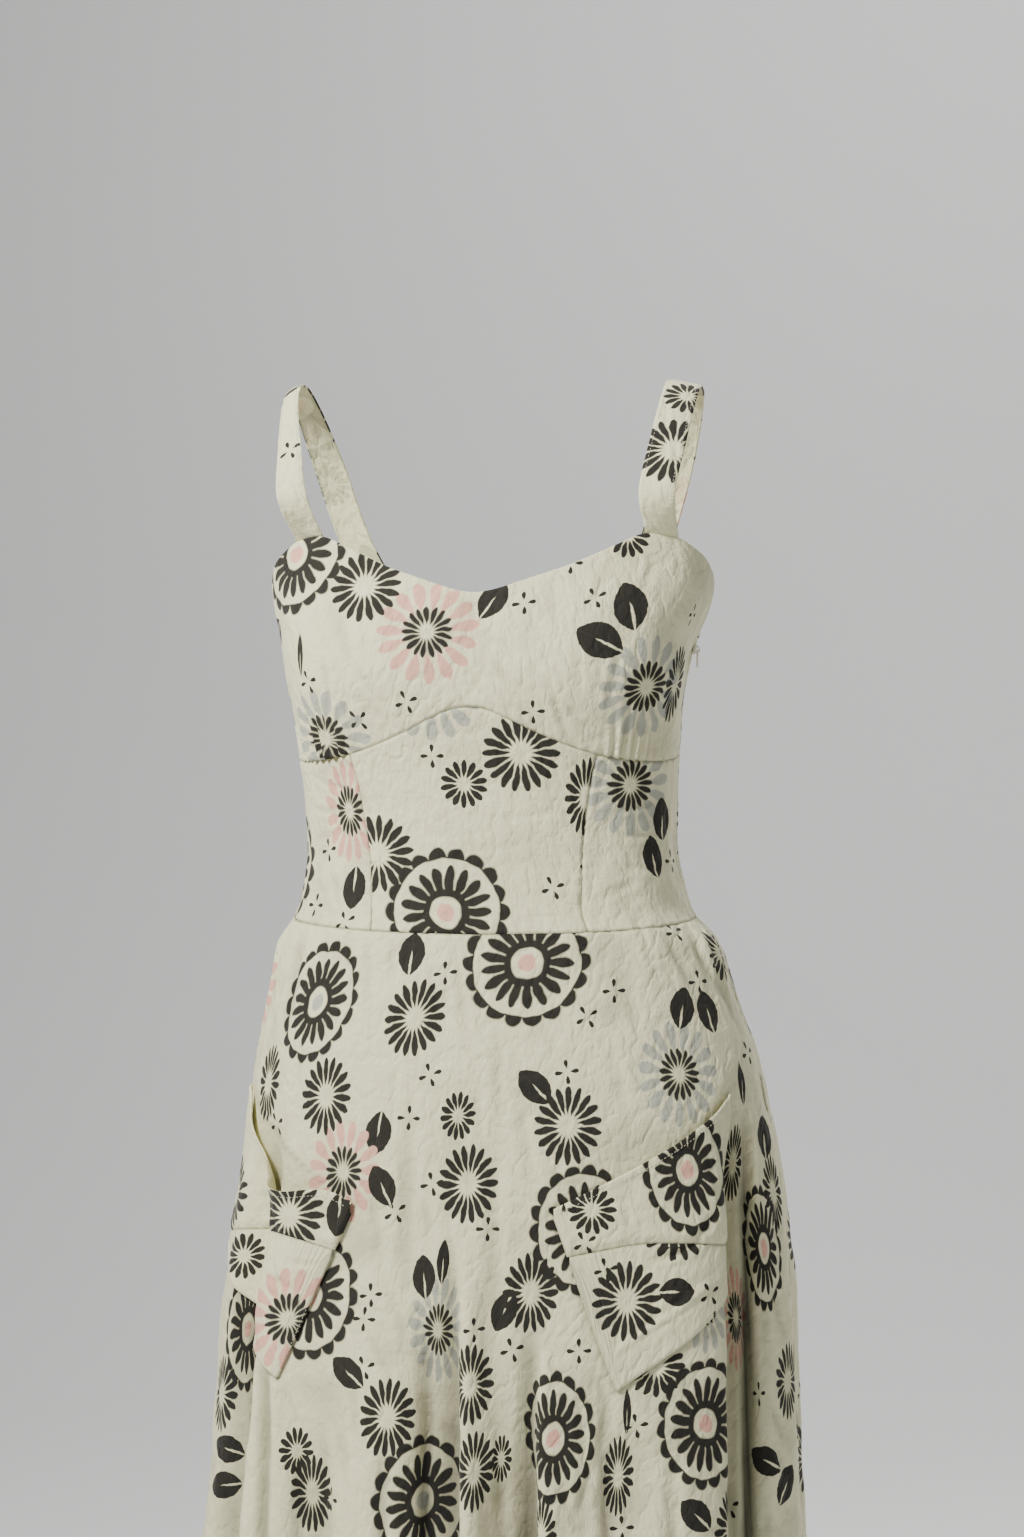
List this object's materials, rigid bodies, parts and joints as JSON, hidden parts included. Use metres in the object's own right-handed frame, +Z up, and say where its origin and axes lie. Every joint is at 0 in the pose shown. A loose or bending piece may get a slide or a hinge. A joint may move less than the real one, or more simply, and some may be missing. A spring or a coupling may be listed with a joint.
{
  "type": "strappy summer dress",
  "caption": "Strappy dress in its hollow worn form: gathered bust, panelled midriff, flared skirt, slanted patch pockets and a side zip.",
  "frame": {"origin": "midway between the tops of the two shoulder straps, where the wearer's shoulders hold the dress", "axes": "+Z up along the dress's length; +X towards the wearer's left; the front faces -Y"},
  "size_m": [0.498, 0.3429, 1.0833],
  "materials": {
    "printed_cotton": "matt crinkled cotton, cream with a black, pink and grey floral print",
    "zip_enamel": "satin cream enamel"
  },
  "bodies": {
    "dress": {"bust_front": "printed_cotton", "midriff_front": "printed_cotton", "midriff_side_left": "printed_cotton", "midriff_side_right": "printed_cotton", "bodice_back": "printed_cotton", "skirt_front": "printed_cotton", "skirt_back": "printed_cotton", "pocket_bag_left": "printed_cotton", "pocket_bag_right": "printed_cotton", "pocket_band_left": "printed_cotton", "pocket_band_right": "printed_cotton", "strap_left": "printed_cotton", "strap_right": "printed_cotton", "zip_slider": "zip_enamel"},
    "pull_tab": {"zip_pull": "zip_enamel"}
  },
  "joints": [
    {"name": "pull_tab_swing", "type": "hinge", "parent": "dress", "child": "pull_tab", "pos_m": [0.1602, 0, -0.20445], "axis": [0, -1, 0], "range_deg": [-8, 155]}
  ]
}
